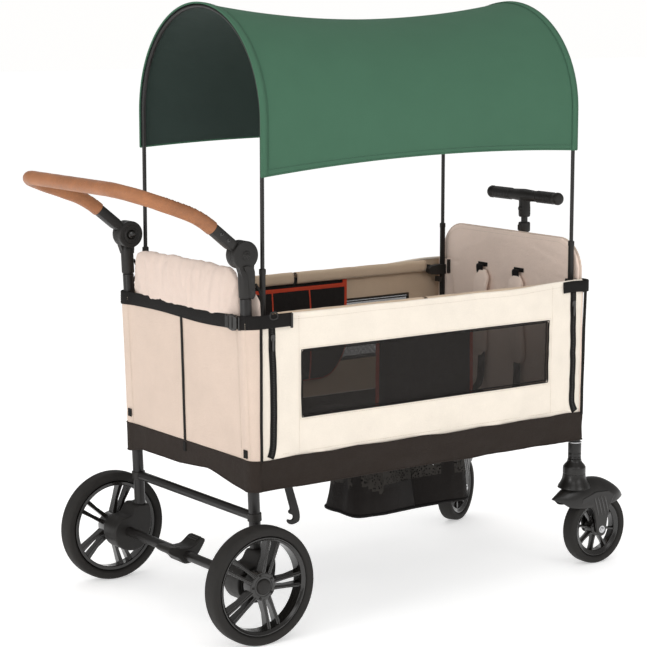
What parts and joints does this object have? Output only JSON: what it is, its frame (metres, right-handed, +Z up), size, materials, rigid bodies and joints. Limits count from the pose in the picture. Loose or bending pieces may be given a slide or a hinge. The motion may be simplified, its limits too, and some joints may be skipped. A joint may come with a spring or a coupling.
{
  "type": "folding children's pull wagon",
  "caption": "Folding child wagon: fabric tub, arched canopy on poles, leather push handle, telescopic pull handle, rear wheels and swivel casters.",
  "frame": {"origin": "on the ground, below the middle of the overall box", "axes": "+X the way the wagon is pulled, +Y to its left, +Z up"},
  "size_m": [1.3696, 0.662, 1.3291],
  "materials": {
    "frame_black": "satin black powder coat",
    "plastic_black": "moulded, fine grain",
    "gloss_black": "moulded, glossy",
    "rim_black": "moulded, half gloss",
    "tyre_black": "smooth foam rubber",
    "leather_tan": "stitched, smooth grain",
    "fabric_blush": "polyester plain weave",
    "fabric_cream": "polyester plain weave",
    "fabric_green": "polyester plain weave",
    "skirt_brown": "coarse weave",
    "mesh_black": "open mesh",
    "webbing_black": "ribbed webbing",
    "trim_red": "bias binding",
    "steel_bright": "polished"
  },
  "bodies": {
    "rear_frame": {"rear_post_left": "frame_black", "rear_post_right": "frame_black", "rear_crossbar": "frame_black", "rear_sill": "frame_black", "rear_axle": "frame_black", "axle_housing_left": "plastic_black", "axle_housing_right": "plastic_black", "handle_bracket_left": "plastic_black", "handle_bracket_right": "plastic_black", "canopy_socket_rear_left": "plastic_black", "canopy_socket_rear_right": "plastic_black", "rear_panel": "fabric_blush", "rear_headrest": "fabric_blush", "side_panel_left": "fabric_cream", "side_panel_right": "fabric_cream", "side_pocket": "mesh_black", "basket": "mesh_black", "strap_buckle": "gloss_black"},
    "floor_rear": {"floor_board_rear": "plastic_black", "floor_mat_rear": "skirt_brown"},
    "floor_front": {"floor_board_front": "plastic_black", "floor_mat_front": "skirt_brown"},
    "front_frame": {"front_post_left": "frame_black", "front_post_right": "frame_black", "front_sill": "frame_black", "canopy_socket_front_left": "plastic_black", "canopy_socket_front_right": "plastic_black", "front_panel": "fabric_blush", "front_backrest": "fabric_blush", "pull_bracket": "plastic_black"},
    "rail_rear_left": {"top_rail_rear_left": "frame_black"},
    "rail_front_left": {"top_rail_front_left": "frame_black"},
    "rail_rear_right": {"top_rail_rear_right": "frame_black"},
    "rail_front_right": {"top_rail_front_right": "frame_black"},
    "canopy_rear": {"canopy_bow_rear": "frame_black", "canopy_cover": "fabric_green"},
    "canopy_front": {"canopy_bow_front": "frame_black"},
    "push_handle": {"handle_arm_left": "plastic_black", "handle_arm_right": "plastic_black", "handle_tube": "frame_black", "handle_grip": "leather_tan"},
    "button_left": {"handle_button_left": "gloss_black"},
    "button_right": {"handle_button_right": "gloss_black"},
    "pull_mast": {"pull_tube": "frame_black"},
    "pull_slider": {"pull_rod": "frame_black", "pull_grip": "plastic_black"},
    "rear_wheel_left": {"rear_rim_left": "rim_black", "rear_tyre_left": "tyre_black"},
    "rear_wheel_right": {"rear_rim_right": "rim_black", "rear_tyre_right": "tyre_black"},
    "caster_left": {"caster_fork_left": "plastic_black"},
    "caster_right": {"caster_fork_right": "plastic_black"},
    "caster_wheel_left": {"caster_rim_left": "rim_black", "caster_tyre_left": "tyre_black"},
    "caster_wheel_right": {"caster_rim_right": "rim_black", "caster_tyre_right": "tyre_black"},
    "brake": {"brake_pedal": "plastic_black"},
    "hook": {"fold_hook": "plastic_black"}
  },
  "joints": [
    {"name": "fold", "type": "hinge", "parent": "rear_frame", "child": "floor_rear", "pos_m": [-0.3415, 0, 0.332], "axis": [0, -1, 0], "range_deg": [0, 70], "deforming": ["side_panel_left", "side_panel_right", "side_pocket", "basket", "canopy_cover"]},
    {"name": "floor_middle", "type": "hinge", "parent": "floor_rear", "child": "floor_front", "pos_m": [0.0685, 0, 0.332], "axis": [0, -1, 0], "range_deg": [-140, 0]},
    {"name": "front_frame_hinge", "type": "hinge", "parent": "floor_front", "child": "front_frame", "pos_m": [0.4785, 0, 0.332], "axis": [0, -1, 0], "range_deg": [0, 70]},
    {"name": "rail_left", "type": "hinge", "parent": "rear_frame", "child": "rail_rear_left", "pos_m": [-0.3415, 0.2525, 0.668], "axis": [0, 1, 0], "range_deg": [0, 70]},
    {"name": "rail_left_middle", "type": "hinge", "parent": "rail_rear_left", "child": "rail_front_left", "pos_m": [0.0685, 0.2525, 0.668], "axis": [0, 1, 0], "range_deg": [-140, 0]},
    {"name": "rail_right", "type": "hinge", "parent": "rear_frame", "child": "rail_rear_right", "pos_m": [-0.3415, -0.2525, 0.668], "axis": [0, 1, 0], "range_deg": [0, 70]},
    {"name": "rail_right_middle", "type": "hinge", "parent": "rail_rear_right", "child": "rail_front_right", "pos_m": [0.0685, -0.2525, 0.668], "axis": [0, 1, 0], "range_deg": [-140, 0]},
    {"name": "canopy_rear_slide", "type": "slide", "parent": "rear_frame", "child": "canopy_rear", "axis": [0, 0, 1], "range_m": [-0.15, 0]},
    {"name": "canopy_front_slide", "type": "slide", "parent": "front_frame", "child": "canopy_front", "axis": [0, 0, 1], "range_m": [-0.15, 0]},
    {"name": "handle_tilt", "type": "hinge", "parent": "rear_frame", "child": "push_handle", "pos_m": [-0.3972, 0, 0.813], "axis": [0, 1, 0], "range_deg": [-80, 50]},
    {"name": "handle_button_left_press", "type": "slide", "parent": "push_handle", "child": "button_left", "axis": [0, 1, 0], "range_m": [0, 0.004], "stiffness_N_per_m": 400},
    {"name": "handle_button_right_press", "type": "slide", "parent": "push_handle", "child": "button_right", "axis": [0, -1, 0], "range_m": [0, 0.004], "stiffness_N_per_m": 400},
    {"name": "pull_tilt", "type": "hinge", "parent": "front_frame", "child": "pull_mast", "pos_m": [0.5755, 0, 0.31], "axis": [0, 1, 0], "range_deg": [0, 70]},
    {"name": "pull_extend", "type": "slide", "parent": "pull_mast", "child": "pull_slider", "axis": [0, 0, 1], "range_m": [0, 0.3]},
    {"name": "rear_wheel_left_spin", "type": "hinge", "parent": "rear_frame", "child": "rear_wheel_left", "pos_m": [-0.4065, 0.309, 0.127], "axis": [0, 1, 0], "continuous": true},
    {"name": "rear_wheel_right_spin", "type": "hinge", "parent": "rear_frame", "child": "rear_wheel_right", "pos_m": [-0.4065, -0.309, 0.127], "axis": [0, 1, 0], "continuous": true},
    {"name": "caster_left_swivel", "type": "hinge", "parent": "front_frame", "child": "caster_left", "pos_m": [0.5335, 0.2408, 0.2], "axis": [0, 0, 1], "continuous": true},
    {"name": "caster_right_swivel", "type": "hinge", "parent": "front_frame", "child": "caster_right", "pos_m": [0.5335, -0.2408, 0.2], "axis": [0, 0, 1], "continuous": true},
    {"name": "caster_left_spin", "type": "hinge", "parent": "caster_left", "child": "caster_wheel_left", "pos_m": [0.59177, 0.27179, 0.086], "axis": [-0.4695, 0.8829, 0], "continuous": true},
    {"name": "caster_right_spin", "type": "hinge", "parent": "caster_right", "child": "caster_wheel_right", "pos_m": [0.5995, -0.2408, 0.086], "axis": [0, 1, 0], "continuous": true},
    {"name": "brake_rock", "type": "hinge", "parent": "rear_frame", "child": "brake", "pos_m": [-0.4065, 0, 0.127], "axis": [0, 1, 0], "range_deg": [-12, 12]},
    {"name": "hook_swing", "type": "hinge", "parent": "floor_rear", "child": "hook", "pos_m": [-0.2515, -0.181, 0.32], "axis": [0, 1, 0], "range_deg": [-35, 60]}
  ],
  "couplings": [
    {"joint": "floor_middle", "follows": "fold", "ratio": -2},
    {"joint": "front_frame_hinge", "follows": "fold", "ratio": 1},
    {"joint": "rail_left", "follows": "fold", "ratio": 1},
    {"joint": "rail_left_middle", "follows": "fold", "ratio": -2},
    {"joint": "rail_right", "follows": "fold", "ratio": 1},
    {"joint": "rail_right_middle", "follows": "fold", "ratio": -2},
    {"joint": "canopy_front_slide", "follows": "canopy_rear_slide", "ratio": 1}
  ]
}
